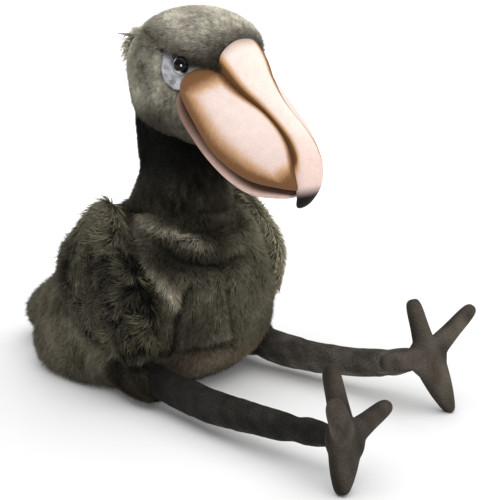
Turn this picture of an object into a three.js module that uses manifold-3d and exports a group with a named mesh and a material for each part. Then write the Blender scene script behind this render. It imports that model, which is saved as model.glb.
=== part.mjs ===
// A plush toy shoebill, sitting: a bean-bag body, neck and head of fur, shaggy wings, a bill of padded velour
// panels, and long soft legs with four-toed feet. Millimetres, +Z up. The bird looks along -Y, its own left
// side is +X, and the origin is on the floor under the seat. Each soft piece is a rounded form whose section
// changes smoothly from station to station, out to the tips of its pile.
import * as THREE from 'three';
import { mergeVertices } from 'three/addons/utils/BufferGeometryUtils.js';
import Module from 'manifold-3d';

const wasm = await Module();
wasm.setup();

// Driving dimensions
const GAP = 0.3;
const SKIN = 1.2;

// Upright fur forms: height, half width, front and back of each level section
const TORSO = [
  [-10, 80, -62, 94],
  [10, 92, -82, 103],
  [32, 95, -104, 107],
  [60, 92, -113, 98],
  [97, 80, -116, 66],
  [126, 66, -110, 46],
  [148, 52, -98, 16],
  [166, 42, -88, -2],
];
const NECK = [
  [140, 48, -90, 6],
  [152, 46, -88, 3],
  [165, 41, -85, -3],
  [180, 36.5, -80.5, -7.5],
  [200, 36, -77, -5],
  [236, 37, -76, -2],
];
const SKULL = [
  [206, 38, -88, -14],
  [224, 41, -94, -9],
  [240, 43, -100, -4],
  [256, 44.5, -110, -1],
  [270, 45.5, -116, 0],
  [290, 44, -118, -1],
  [312, 42, -112, -8],
];
const CROWN = [
  [247, 46, -121, -8],
  [281, 46.5, -122, -8],
  [314.5, 46, -121, -9],
];

// The brow line in side view, back to front: the crown lies above it and the cheeks below
const BROW = [
  [30, 290], [0, 291], [-40, 293], [-61, 285.5], [-74, 282.5],
  [-87, 278.5], [-104, 273.5], [-112, 270.5], [-150, 266],
];

// The jaw fur runs down and forward under the bill: y, z, half width, half height
const JAW = [
  [-22, 243, 35, 19],
  [-60, 237, 40, 24],
  [-88, 223, 41.5, 22],
  [-114, 207, 36, 11],
];

// The bill hangs forward and down from its base on the face. Its stations run s along it and u up from it.
const BILL_BASE = [-100, 262];
const BILL_PITCH = THREE.MathUtils.degToRad(45);
// Both padded sides: s, half width, underside, widest level, top
const BILL_SIDES = [
  [-9, 46, -16, -7, 17],
  [6, 49, -19, -10, 16],
  [30, 50, -21, -12, 16],
  [55, 49.5, -23, -13, 19],
  [75, 44.5, -22, -11, 21],
  [92, 36, -18, -7, 20],
  [108, 24, -8, 0, 16],
  [117, 15, -2, 3, 12],
];
// The ridge panel and its hooked tip: s, u, half width, half height
const BILL_RIDGE = [
  [-24, 13, 24, 17],
  [-6, 14, 24, 18],
  [8, 15, 22.5, 16.5],
  [27, 14.5, 18, 13],
  [53, 17, 11, 10],
  [80, 20, 10.5, 9.5],
  [95, 18.5, 12.5, 10],
  [106, 13, 15, 10.5],
  [115, 4, 15, 10.5],
  [120, -6, 12.5, 9],
  [121, -16, 10, 8],
];
// The lower bill: s, half width, half height above and below, level of its edge
const BILL_LOWER = [
  [-12, 45, 14, 6, -22],
  [10, 47.5, 14, 7, -26],
  [30, 46, 14, 7, -28],
  [55, 43, 14, 7, -29],
  [78, 36.5, 14, 7, -28.5],
  [96, 28, 14, 7, -25],
  [113, 15, 12, 6, -12],
];

// The bare patch round each eye in side view, and the eye button in it
const PATCH = [
  [-69, 286], [-69, 266], [-71, 257], [-79, 251],
  [-92, 250], [-108, 262], [-114, 272], [-98, 282],
];
const EYE = { x: 40.5, y: -88, z: 270.5, radius: 7, bulge: 5 };

// The wings hang at the sides: height, half thickness, front, back and middle of each level section
const RIGHT_WING = [
  [40, 12, -97, -62, -86],
  [50, 15, -100, -34, -84],
  [62, 18, -99, -6, -82],
  [84, 22, -91, 23, -77],
  [106, 22, -74, 23, -75],
  [130, 20, -55, 12, -71],
  [150, 17, -44, -4, -66],
  [163, 14, -41, -16, -62],
];
const LEFT_WING = [
  [55, 12, -84, -48, 77],
  [66, 17, -88, -16, 76],
  [84, 21, -92, 14, 75],
  [106, 22, -92, 22, 74],
  [130, 20, -80, 12, 70],
  [150, 18, -68, -6, 64],
  [165, 14, -58, -18, 60],
];

// Swept soft pieces: x, y, z of the path, half width across it, half thickness
const TAIL = [
  [0, 60, 46, 54, 34],
  [0, 96, 36, 54, 32],
  [0, 126, 24, 46, 26],
  [0, 152, 15, 32, 16],
];
const LEFT_THIGH = [
  [54, -30, 34, 27, 27],
  [58, -58, 28, 22, 22],
  [60, -84, 22, 18, 18],
];
const RIGHT_THIGH = [
  [-58, -22, 32, 28, 28],
  [-70, -60, 22, 22, 21],
  [-77, -98, 16, 17.5, 16],
];
const LEFT_LEG = [
  [58, -62, 25, 15.5, 15.5],
  [61, -98, 20, 15, 15],
  [64, -138, 19.5, 13.5, 13.5],
  [70, -176, 23, 12.2, 12.2],
  [76, -208, 29, 12.5, 12.5],
  [77, -226, 35, 12, 12],
  [75, -241, 41, 10.5, 10.5],
];
const RIGHT_LEG = [
  [-73, -74, 24, 14, 14],
  [-74, -120, 19.5, 14, 13.5],
  [-78, -164, 20, 13.5, 13],
  [-78, -198, 22.5, 12, 11.8],
  [-76, -236, 24.5, 11, 11],
  [-76, -260, 27.5, 11, 11],
  [-80, -284, 32, 10.5, 10.5],
];
// Each foot: its middle, the way its sole faces, and each toe's tip from the middle with its half width
const LEFT_FOOT = {
  middle: [73, -248, 44],
  face: [-0.35, -0.9, 0.3],
  toes: [[-2, 16, 45, 7.6], [49, -8, 33, 7.4], [-41, 15, 1, 8], [9, -18, -45, 9.4]],
};
const RIGHT_FOOT = {
  middle: [-82, -292, 33.5],
  face: [-0.1, -0.94, 0.34],
  toes: [[3, 18, 50, 7.6], [-26, -11, 37, 8.6], [48, 0, 13, 7.4], [-15, -10, -33, 9.6]],
};
const TOE = { root: 13, thick: 7.5, pad: 18, ends: [2.6, 4.5] };

// The tuft at the nape: locks in rows, each a flat blade that tapers and lifts at its tip
const CREST = {
  rows: 3,
  across: 5,
  spread: 26,
  length: 21,
  width: 4.5,
  thick: 2.2,
  sunk: 12,
  top: 286,
  drop: 6,
  back: -6,
  round: 0.012,
  seed: 7,
};

// Surface finishes: pile fabrics, and the hard eyes
const FINISH = {
  fur: { color: 0x5f5a4c, roughness: 1, metalness: 0 },
  cap: { color: 0x8d8776, roughness: 1, metalness: 0 },
  patch: { color: 0xb4b6bb, roughness: 1, metalness: 0 },
  bill: { color: 0xf2d9cc, roughness: 0.95, metalness: 0 },
  lower: { color: 0xa98a7d, roughness: 0.95, metalness: 0 },
  velour: { color: 0x4b4741, roughness: 0.95, metalness: 0 },
  eye: { color: 0x0b0b0b, roughness: 0.1, metalness: 0 },
};

// The smooth value between stations: a cubic through each column, with the first column as the key
function station(table, key) {
  const last = table.length - 1;
  let i = 0;
  while (i < last - 1 && key > table[i + 1][0]) i += 1;
  const [from, to] = [table[i], table[i + 1]];
  const span = to[0] - from[0];
  const t = THREE.MathUtils.clamp((key - from[0]) / span, 0, 1);
  const before = table[Math.max(i - 1, 0)];
  const after = table[Math.min(i + 2, last)];
  return from.slice(1).map((value, column) => {
    const c = column + 1;
    const slopeFrom = (to[c] - before[c]) / (to[0] - before[0]);
    const slopeTo = (after[c] - from[c]) / (after[0] - from[0]);
    const bend = t * t * (3 - 2 * t);
    const start = t * (1 - t) * (1 - t) * span * slopeFrom;
    const end = t * t * (1 - t) * span * slopeTo;
    return value + (to[c] - value) * bend + start - end;
  });
}

const power = (value, exponent) => Math.sign(value) * Math.abs(value) ** exponent;

// How far a form has opened between its two rounded ends, from 0 at a pole to 1 in the middle
const opened = (t, end) => Math.max(0, 1 - Math.abs(2 * t - 1) ** end) ** (1 / end);

// A closed skin: the sphere's own grid, with place(t, cos, sin) giving the point for each of its vertices
function skin(place, around, along) {
  const geometry = new THREE.SphereGeometry(1, around, along);
  const position = geometry.attributes.position;
  for (let i = 0; i < position.count; i += 1) {
    const row = Math.floor(i / (around + 1));
    const turn = ((i % (around + 1)) % around) / around * 2 * Math.PI;
    const t = (1 - Math.cos(row / along * Math.PI)) / 2;
    position.setXYZ(i, ...place(t, Math.cos(turn), Math.sin(turn)));
  }
  return solid(geometry);
}

// A three.js geometry as a manifold solid, turned the right way out
function solid(geometry) {
  geometry.deleteAttribute('normal');
  geometry.deleteAttribute('uv');
  const merged = mergeVertices(geometry, 1e-4);
  const triVerts = new Uint32Array(merged.index.array);
  const make = () => new wasm.Manifold(new wasm.Mesh({
    numProp: 3,
    vertProperties: new Float32Array(merged.attributes.position.array),
    triVerts,
  }));
  const made = make();
  if (made.volume() > 0) return made;
  for (let i = 0; i < triVerts.length; i += 3) {
    [triVerts[i + 1], triVerts[i + 2]] = [triVerts[i + 2], triVerts[i + 1]];
  }
  return make();
}

// A form of level sections, one above the other
function upright(table, { grow = 0, corner = 2.3, ends = [3, 3], around = 24, along = 14 } = {}) {
  const low = table[0][0] - grow;
  const high = table[table.length - 1][0] + grow;
  return skin((t, cos, sin) => {
    const z = low + (high - low) * t;
    const [half, front, back, middle = 0] = station(table, z);
    const open = opened(t, t < 0.5 ? ends[0] : ends[1]);
    const x = middle + (half + grow) * open * power(cos, 2 / corner);
    const reach = ((back - front) / 2 + grow) * open;
    return [x, (front + back) / 2 + reach * power(sin, 2 / corner), z];
  }, around, along);
}

// A form swept along a path, with its sections square to the path
function swept(path, options = {}) {
  const { grow = 0, corner = 2.2, ends = [2.6, 2.6], around = 12, along = 12, side = [1, 0, 0] } = options;
  const reference = new THREE.Vector3(...side);
  let length = 0;
  const table = path.map((row, i) => {
    if (i > 0) length += Math.hypot(...[0, 1, 2].map((c) => row[c] - path[i - 1][c]));
    return [length, ...row];
  });
  const step = length / 200;
  return skin((t, cos, sin) => {
    const key = length * t;
    const [x, y, z, half, thick] = station(table, key);
    const ahead = new THREE.Vector3(...station(table, Math.min(key + step, length)));
    const behind = new THREE.Vector3(...station(table, Math.max(key - step, 0)));
    const way = ahead.sub(behind).normalize();
    const across = reference.clone().addScaledVector(way, -way.dot(reference)).normalize();
    const up = new THREE.Vector3().crossVectors(across, way);
    const open = opened(t, t < 0.5 ? ends[0] : ends[1]);
    return new THREE.Vector3(x, y, z)
      .addScaledVector(across, (half + grow) * open * power(cos, 2 / corner))
      .addScaledVector(up, (thick + grow) * open * power(sin, 2 / corner))
      .addScaledVector(way, (2 * t - 1) * grow)
      .toArray();
  }, around, along);
}

// The bill's own directions in side view
const billPoint = (s, u) => [
  BILL_BASE[0] - Math.cos(BILL_PITCH) * s - Math.sin(BILL_PITCH) * u,
  BILL_BASE[1] - Math.sin(BILL_PITCH) * s + Math.cos(BILL_PITCH) * u,
];

function billSides(grow = 0) {
  const [from, to] = [BILL_SIDES[0][0] - grow, BILL_SIDES[BILL_SIDES.length - 1][0] + grow];
  return skin((t, cos, sin) => {
    const s = from + (to - from) * t;
    const [half, low, middle, top] = station(BILL_SIDES, s);
    const open = opened(t, t < 0.5 ? 8 : 5);
    const rounder = sin > 0 ? 2 / 1.9 : 2 / 3;
    const reach = sin > 0 ? top - middle : middle - low;
    const u = middle + (reach + grow) * open * power(sin, rounder);
    return [(half + grow) * open * power(cos, rounder), ...billPoint(s, u)];
  }, 22, 16);
}

function billLower(grow = 0) {
  const [from, to] = [BILL_LOWER[0][0] - grow, BILL_LOWER[BILL_LOWER.length - 1][0] + grow];
  return skin((t, cos, sin) => {
    const s = from + (to - from) * t;
    const [half, above, below, edge] = station(BILL_LOWER, s);
    const open = opened(t, 4);
    const u = edge + ((sin > 0 ? above : below) + grow) * open * sin;
    return [(half + grow) * open * power(cos, 2 / 2.6), ...billPoint(s, u)];
  }, 18, 11);
}

const billRidge = (grow = 0) => swept(
  BILL_RIDGE.map(([s, u, half, high]) => [0, ...billPoint(s, u), half, high]),
  { grow, ends: [8, 2.4], around: 14, along: 18 },
);

// An outline in side view (y, z) as a slab across the bird, from x to x
function slab(outline, from, to) {
  const shape = new THREE.Shape(outline.map(([y, z]) => new THREE.Vector2(y, z)));
  const geometry = new THREE.ExtrudeGeometry(shape, { depth: to - from, bevelEnabled: false });
  const place = new THREE.Matrix4().makeBasis(
    new THREE.Vector3(0, 1, 0), new THREE.Vector3(0, 0, 1), new THREE.Vector3(1, 0, 0),
  ).setPosition(from, 0, 0);
  return solid(geometry.applyMatrix4(place));
}

const without = (form, ...others) => others.reduce((left, other) => left.subtract(other), form);
const joined = (forms) => forms.reduce((all, form) => all.add(form));

// The largest closed body of a form
function whole(form) {
  const bodies = form.decompose();
  return bodies.reduce((most, body) => (body.volume() > most.volume() ? body : most));
}

const part = new THREE.Group();

function piece(name, form, finish) {
  const { vertProperties, triVerts } = whole(form).getMesh();
  const geometry = new THREE.BufferGeometry();
  geometry.setAttribute('position', new THREE.BufferAttribute(vertProperties, 3));
  geometry.setIndex(new THREE.BufferAttribute(triVerts, 1));
  geometry.computeVertexNormals();
  const mesh = new THREE.Mesh(geometry, new THREE.MeshStandardMaterial(FINISH[finish]));
  mesh.name = name;
  part.add(mesh);
}

// Everything under the floor is cut away, which leaves small flats at one level
const FAR = 500;
const underFloor = slab([[-FAR, -FAR], [FAR, -FAR], [FAR, 0], [-FAR, 0]], -FAR, FAR);
const oneSide = (way) => slab(
  [[-FAR, 0], [FAR, 0], [FAR, FAR], [-FAR, FAR]],
  way > 0 ? GAP / 2 : -FAR,
  way > 0 ? FAR : -GAP / 2,
);

// The brow line as the lower edge of all that is above it, or raised a gap as the upper edge of what is below
const aboveBrow = (rise) => slab([
  ...BROW.map(([y, z]) => [y, z + rise]), [BROW[BROW.length - 1][0], FAR], [BROW[0][0], FAR],
], -FAR, FAR);

// Head: skull and jaw below the brow line, with the tuft of locks at the nape
function random(seed) {
  let state = seed;
  return () => {
    state = (state * 16807) % 2147483647;
    return state / 2147483647;
  };
}

function crestLocks() {
  const draw = random(CREST.seed);
  const { width, thick } = CREST;
  const locks = [];
  for (let row = 0; row < CREST.rows; row += 1) {
    for (let column = 0; column < CREST.across; column += 1) {
      const x = ((column + (row % 2) / 2) / (CREST.across - 0.5) - 0.5) * CREST.spread;
      const z = CREST.top - row * CREST.drop + draw() * 2;
      const length = CREST.length * (0.75 + 0.35 * draw());
      const root = CREST.back - CREST.round * x * x;
      const lift = 2 - row * 3 + draw() * 3;
      const splay = x * (1.1 + 0.3 * draw());
      const bend = [(x + splay) / 2, root + length * 0.55, z + lift * 0.6 - 1];
      const tip = [splay, root + length, z + lift - 4];
      locks.push(swept([
        [x * 0.9, root - CREST.sunk, z, width, thick],
        [x, root + 2, z + 1, width, thick],
        [...bend, width * 0.75, thick * 0.8],
        [...tip, 0.8, 0.5],
      ], { ends: [4, 4], around: 5, along: 5 }));
    }
  }
  return locks;
}

const eyeButton = (way, grow = 0) => skin((t, cos, sin) => {
  const open = opened(t, 2);
  const out = (2 * t - 1) * (EYE.bulge + grow);
  const radius = EYE.radius + grow;
  return [way * (EYE.x + out), EYE.y + radius * open * cos, EYE.z + radius * open * sin];
}, 12, 8);

// The patch's outline as a slab on one side, well clear of the middle
const patchOutline = (way) => slab(PATCH, way > 0 ? EYE.x / 2 : -FAR, way > 0 ? FAR : -EYE.x / 2);
const skull = (grow) => upright(SKULL, { grow, corner: 2.4, ends: [4, 2.4], around: 22, along: 11 });
const jaw = (grow) => swept(
  JAW.map(([y, z, half, high]) => [0, y, z, half, high]),
  { grow, corner: 2.4, around: 14, along: 8 },
);
const bill = (grow) => joined([billSides(grow), billRidge(grow), billLower(grow)]);
const dome = (grow) => upright(CROWN, { grow, corner: 2.2, ends: [6, 2], around: 24, along: 14 });
const crownForm = (grow) => dome(grow).intersect(aboveBrow(-grow));
const patches = [-1, 1].map((way) => (
  skull(SKIN + GAP).intersect(patchOutline(way)).subtract(skull(GAP))
));

const face = joined([skull(0), jaw(0)]).subtract(aboveBrow(-GAP));
const headFlesh = joined([face, ...crestLocks()]);
piece('head', without(headFlesh, crownForm(GAP), bill(GAP), eyeButton(-1, GAP), eyeButton(1, GAP)), 'fur');
piece('crown', without(crownForm(0), bill(GAP)), 'cap');
piece('bill_ridge', billRidge(), 'bill');

[['right', -1], ['left', 1]].forEach(([side, way], i) => {
  piece('bill_side_' + side, without(billSides().intersect(oneSide(way)), billRidge(GAP)), 'bill');
  piece('eye_' + side, eyeButton(way), 'eye');
  const clear = [crownForm(GAP), bill(GAP), eyeButton(way, GAP)];
  piece('eye_patch_' + side, without(patches[i], ...clear), 'patch');
});
piece('bill_lower', without(billLower(), billSides(GAP), billRidge(GAP)), 'lower');

// Body: the torso stands on the floor, and the rest meets it face to face
const torso = (grow) => upright(TORSO, { grow, corner: 2.25, ends: [10, 4], around: 26, along: 14 });
const neck = upright(NECK, { corner: 2, ends: [8, 8], around: 18, along: 9 });
piece('torso', without(torso(0), underFloor), 'fur');
piece('neck', without(neck, torso(GAP), skull(GAP), jaw(GAP), bill(GAP)), 'fur');
piece('tail', without(swept(TAIL, { around: 18, along: 10 }), torso(GAP), underFloor), 'fur');

function limbs(side, wingTable, thighPath, legPath, foot) {
  const face = new THREE.Vector3(...foot.face).normalize();
  const from = (way, share) => foot.middle.map((value, axis) => value + way[axis] * share);
  const pad = (grow) => swept([-1, 0, 1].map((share) => (
    [...from(face.toArray(), share * TOE.thick), TOE.pad, TOE.pad]
  )), { grow, ends: [2, 2], corner: 2, around: 14, along: 6 });
  const feet = (grow) => joined([pad(grow), ...foot.toes.map(([x, y, z, half]) => {
    const way = new THREE.Vector3(x, y, z);
    return swept([
      [...from([x, y, z], -0.2), TOE.root, TOE.thick],
      [...from([x, y, z], 0.5), half, TOE.thick],
      [...from([x, y, z], 1), half, TOE.thick],
    ], { grow, ends: TOE.ends, around: 9, along: 8, side: face.clone().cross(way).normalize().toArray() });
  })]);
  const limb = (grow) => swept(legPath, { grow, ends: [4, 4], around: 12, along: 14 });
  const thigh = swept(thighPath, { ends: [5, 5], around: 14, along: 7 });
  const wing = upright(wingTable, { corner: 2.2, ends: [6, 2.5], around: 18, along: 12 });
  piece('wing_' + side, without(wing, torso(GAP), neck), 'fur');
  piece('thigh_' + side, without(thigh, torso(GAP), limb(GAP), underFloor), 'fur');
  piece('leg_' + side, without(limb(0), torso(GAP), feet(GAP), underFloor), 'velour');
  piece('foot_' + side, without(feet(0), underFloor), 'velour');
}

limbs('right', RIGHT_WING, RIGHT_THIGH, RIGHT_LEG, RIGHT_FOOT);
limbs('left', LEFT_WING, LEFT_THIGH, LEFT_LEG, LEFT_FOOT);

export default part;
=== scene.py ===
"""A plush toy shoebill, sitting. Every soft piece is a skin worked out with numpy inside its CAD solid. The fur
is a coat of thin tapered tufts that follows the lie of the pile out to the solid's own outline. Sizes are in
millimetres up to the meshes, which are in metres. The bird looks along -Y and its own left side is +X."""
import math

import bpy
import numpy as np
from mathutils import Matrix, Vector


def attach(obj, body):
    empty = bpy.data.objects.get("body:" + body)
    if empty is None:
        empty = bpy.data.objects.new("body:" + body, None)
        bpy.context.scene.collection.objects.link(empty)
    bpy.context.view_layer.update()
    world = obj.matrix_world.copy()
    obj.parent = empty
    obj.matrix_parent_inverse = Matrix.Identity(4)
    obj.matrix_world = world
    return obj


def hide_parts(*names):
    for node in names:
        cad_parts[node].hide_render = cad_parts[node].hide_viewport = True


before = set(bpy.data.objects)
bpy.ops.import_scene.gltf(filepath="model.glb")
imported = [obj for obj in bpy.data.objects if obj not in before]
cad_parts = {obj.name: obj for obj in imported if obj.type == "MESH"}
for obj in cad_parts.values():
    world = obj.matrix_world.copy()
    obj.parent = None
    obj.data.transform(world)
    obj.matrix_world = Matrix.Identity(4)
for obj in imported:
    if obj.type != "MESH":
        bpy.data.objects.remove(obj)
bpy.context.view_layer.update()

MM = 0.001
TAU = 2 * math.pi
TINY = 1e-6

# The forms, as the part's source has them. Upright forms have rows of height, half width, front, back and, in
# the wings, middle. Paths have rows of x, y, z, half width and half thickness. The bill's rows begin with the
# length along it.
TORSO = [[-10, 80, -62, 94], [10, 92, -82, 103], [32, 95, -104, 107], [60, 92, -113, 98], [97, 80, -116, 66],
         [126, 66, -110, 46], [148, 52, -98, 16], [166, 42, -88, -2]]
NECK = [[140, 48, -90, 6], [152, 46, -88, 3], [165, 41, -85, -3], [180, 36.5, -80.5, -7.5],
        [200, 36, -77, -5], [236, 37, -76, -2]]
SKULL = [[206, 38, -88, -14], [224, 41, -94, -9], [240, 43, -100, -4], [256, 44.5, -110, -1],
         [270, 45.5, -116, 0], [290, 44, -118, -1], [312, 42, -112, -8]]
CROWN = [[247, 46, -121, -8], [281, 46, -122, -8], [314.5, 46, -121, -9]]
BROW = [[-150, 266], [-112, 270.5], [-104, 273.5], [-87, 278.5], [-74, 282.5], [-61, 285.5], [-40, 293],
        [0, 291], [30, 290]]
JAW = [[0, -22, 243, 35, 19], [0, -60, 237, 40, 24], [0, -88, 223, 41.5, 22], [0, -114, 207, 36, 11]]
BILL_BASE = (-100, 262)
BILL_PITCH = math.radians(45)
BILL_SIDES = [[-9, 46, -16, -7, 17], [6, 49, -19, -10, 16], [30, 50, -21, -12, 16], [55, 49.5, -23, -13, 19],
              [75, 44.5, -22, -11, 21], [92, 36, -18, -7, 20], [108, 24, -8, 0, 16], [117, 15, -2, 3, 12]]
BILL_RIDGE = [[-24, 13, 24, 17], [-6, 14, 24, 18], [8, 15, 22.5, 16.5], [27, 14.5, 18, 13],
              [53, 17, 11, 10], [80, 20, 10.5, 9.5], [95, 18.5, 12.5, 10], [106, 13, 15, 10.5],
              [115, 4, 15, 10.5], [120, -6, 12.5, 9], [121, -16, 10, 8]]
STRAIGHT_RIDGE = BILL_RIDGE[:8]
BILL_LOWER = [[-12, 45, 14, 6, -22], [10, 47.5, 14, 7, -26], [30, 46, 14, 7, -28], [55, 43, 14, 7, -29],
              [78, 36.5, 14, 7, -28.5], [96, 28, 14, 7, -25], [113, 15, 12, 6, -12]]
PATCH = [[-69, 286], [-69, 266], [-71, 257], [-79, 251], [-92, 250], [-108, 262], [-114, 272], [-98, 282]]
PATCH_RINGS = 14
EYE = {"x": 40.5, "y": -88, "z": 270.5, "radius": 7, "bulge": 5}
WINGS = {
    "right": [[40, 12, -97, -62, -86], [50, 15, -100, -34, -84], [62, 18, -99, -6, -82],
              [84, 22, -91, 23, -77], [106, 22, -74, 23, -75], [130, 20, -55, 12, -71],
              [150, 17, -44, -4, -66], [163, 14, -41, -16, -62]],
    "left": [[55, 12, -84, -48, 77], [66, 17, -88, -16, 76], [84, 21, -92, 14, 75], [106, 22, -92, 22, 74],
             [130, 20, -80, 12, 70], [150, 18, -68, -6, 64], [165, 14, -58, -18, 60]],
}
TAIL = [[0, 60, 46, 54, 34], [0, 96, 36, 54, 32], [0, 126, 24, 46, 26], [0, 152, 15, 32, 16]]
THIGHS = {
    "right": [[-58, -22, 32, 28, 28], [-70, -60, 22, 22, 21], [-77, -98, 16, 17.5, 16]],
    "left": [[54, -30, 34, 27, 27], [58, -58, 28, 22, 22], [60, -84, 22, 18, 18]],
}
LEGS = {
    "right": [[-73, -74, 24, 14, 14], [-74, -120, 19.5, 14, 13.5], [-78, -164, 20, 13.5, 13],
              [-78, -198, 22.5, 12, 11.8], [-76, -236, 24.5, 11, 11], [-76, -260, 27.5, 11, 11],
              [-80, -284, 32, 10.5, 10.5]],
    "left": [[58, -62, 25, 15.5, 15.5], [61, -98, 20, 15, 15], [64, -138, 19.5, 13.5, 13.5],
             [70, -176, 23, 12.2, 12.2], [76, -208, 29, 12.5, 12.5], [77, -226, 35, 12, 12],
             [75, -241, 41, 10.5, 10.5]],
}
FEET = {
    "right": {"middle": [-82, -292, 33.5], "face": [-0.1, -0.94, 0.34],
              "toes": [[3, 18, 50, 7.6], [-26, -11, 37, 8.6], [48, 0, 13, 7.4], [-15, -10, -33, 9.6]]},
    "left": {"middle": [73, -248, 44], "face": [-0.35, -0.9, 0.3],
             "toes": [[-2, 16, 45, 7.6], [49, -8, 33, 7.4], [-41, 15, 1, 8], [9, -18, -45, 9.4]]},
}
TOE = {"root": 13, "thick": 7.5, "pad": 18}
HEEL_WIDTHS = (17, 11.5, 5)
VOXEL = 0.0011

# How each form is rounded, and how deep its pile or pad is, by which its skin lies inside the solid
EASE = {
    "torso": dict(corner=2.25, ends=(10, 4)), "neck": dict(corner=2, ends=(8, 8)),
    "skull": dict(corner=2.4, ends=(4, 2.4)), "jaw": dict(corner=2.4), "crown": dict(corner=2.2, ends=(6, 2)),
    "wing": dict(corner=2.2, ends=(6, 2.5)), "tail": {}, "thigh": dict(ends=(5, 5)), "leg": dict(ends=(4, 4)),
}
PILE = {"torso": 4.5, "wing": 6, "tail": 5, "thigh": 4, "neck": 3, "skull": 2.6, "jaw": 2.6, "crown": 2.8,
        "leg": 0.6, "foot": 0.4}

# Folds of the body as lines on it: the pale ones, where the pile parts, and the sunk ones, with their width
# and depth
PALE_WIDTH = 4.5
PALE_FOLDS = [
    [(-30, -1, 151), (-47, -34, 149), (-51, -58, 143), (-48, -72, 140), (-43, -85, 137), (-32, -97, 133),
     (-18, -104, 130)],
    [(-57, -26, 144), (-62, -51, 130), (-64, -60, 119), (-65, -70, 112), (-63, -80, 106), (-58, -92, 95),
     (-55, -97, 85)],
]
CREASES = [
    ([(-36, -2, 153), (-54, -36, 149), (-56, -60, 144), (-50, -76, 142), (-40, -88, 140), (-20, -98, 138),
      (14, -98, 140), (40, -86, 145)], 5, 4),
    ([(-48, -103, 97), (-50, -101, 90), (-53, -99, 79), (-55, -97, 64), (-56, -93, 44)], 4.5, 8),
    ([(-17, -112, 110), (-14, -115, 90), (-7, -112, 61), (-1, -108, 42)], 4.5, 9),
    ([(-53, -74, 127), (-47, -92, 118), (-33, -105, 114), (-19, -110, 112), (6, -110, 116)], 6, 7),
    ([(-64, -85, 41), (-45, -99, 44), (-24, -107, 44), (1, -109, 46)], 5, 5),
    ([(-53, -86, 114), (-42, -100, 107), (-27, -110, 100)], 4, 4),
    ([(14, -110, 128), (20, -112, 104), (34, -108, 84)], 6, 5),
    ([(-80, 20, 128), (-84, 40, 100), (-84, 48, 70), (-80, 40, 44)], 6, 4),
]


def paint(red, green, blue):
    """A screen colour, 0 to 255, as linear light."""
    c = np.array([red, green, blue]) / 255
    return np.where(c > 0.04045, ((c + 0.055) / 1.055) ** 2.4, c / 12.92)


def smooth(low, high, value):
    """0 at low, 1 at high, and a smooth cubic between."""
    t = np.clip((value - low) / (high - low), 0, 1)
    return t * t * (3 - 2 * t)


def mix(a, b, share):
    """Colour a at share 0 and b at share 1, for each point."""
    return a + (b - a) * np.asarray(share)[..., None]


def unit(v):
    """Each vector over its own length."""
    return v / np.maximum(np.linalg.norm(v, axis=-1, keepdims=True), 1e-9)


def power(value, exponent):
    """The value's size to the exponent, with its own sign."""
    return np.sign(value) * np.abs(value) ** exponent


def opened(t, ends):
    """How far a form has opened between its two round ends: (1 - |2t - 1|^end)^(1/end). A pair gives each
    half of t its own end."""
    end = np.where(t < 0.5, *ends) if isinstance(ends, tuple) else ends
    return np.maximum(0, 1 - np.abs(2 * t - 1) ** end) ** (1 / end)


def station(table, key):
    """The table's columns at each key: a cubic between two rows, with slopes from the rows on either side."""
    table = np.asarray(table, float)
    key = np.asarray(key, float)
    last = len(table) - 1
    i = np.clip(np.searchsorted(table[:, 0], key) - 1, 0, last - 1)
    a, b = table[i], table[i + 1]
    before, after = table[np.maximum(i - 1, 0)], table[np.minimum(i + 2, last)]
    span = b[..., :1] - a[..., :1]
    t = np.clip((key[..., None] - a[..., :1]) / span, 0, 1)
    slope_a = (b - before) / (b[..., :1] - before[..., :1])
    slope_b = (after - a) / (after[..., :1] - a[..., :1])
    value = (a + (b - a) * t * t * (3 - 2 * t) + t * (1 - t) ** 2 * span * slope_a
             - t * t * (1 - t) * span * slope_b)
    return np.moveaxis(value[..., 1:], -1, 0)


def ripple(p, scale, seed, waves=7):
    """A smooth uneven value, about -1 to 1: plane waves of that length in seeded directions, added up."""
    draw = np.random.default_rng(seed)
    way = unit(draw.normal(size=(waves, 3))) * TAU / scale * draw.uniform(0.6, 1.5, (waves, 1))
    return np.sin(p @ way.T + draw.uniform(0, TAU, waves)).sum(-1) / math.sqrt(waves) / 1.3


def uneven(p, share, *ripples):
    """The share, made uneven by ripples, each with its weight, length and seed, and perhaps a grain."""
    for much, scale, seed, *grain in ripples:
        share = share + much * ripple(p * grain[0] if grain else p, scale, seed)
    return share


def grid(around, along):
    """The parameters of a closed skin: t from pole to pole, closer at the ends, and the turn about it."""
    t = (1 - np.cos(np.arange(along + 1) / along * math.pi)) / 2
    turn = np.arange(around) / around * TAU
    return np.meshgrid(t, turn, indexing="ij")


def level_row(table, z, t, ends):
    """An upright form's half width, front, back and middle at height z, and how far it has opened at t."""
    row = station(table, z)
    return row[0], row[1], row[2], row[3] if len(row) > 3 else 0, opened(t, ends)


def upright(table, grow=0, corner=2.3, ends=(3, 3), around=120, along=80):
    """Level sections, one above the other, each a rounded rectangle |x/a|^corner + |y/b|^corner = 1."""
    t, turn = grid(around, along)
    low, high = table[0][0] - grow, table[-1][0] + grow
    z = low + (high - low) * t
    half, front, back, middle, open_ = level_row(table, z, t, ends)
    x = middle + (half + grow) * open_ * power(np.cos(turn), 2 / corner)
    y = (front + back) / 2 + ((back - front) / 2 + grow) * open_ * power(np.sin(turn), 2 / corner)
    return np.stack([x, y, z], -1)


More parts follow.
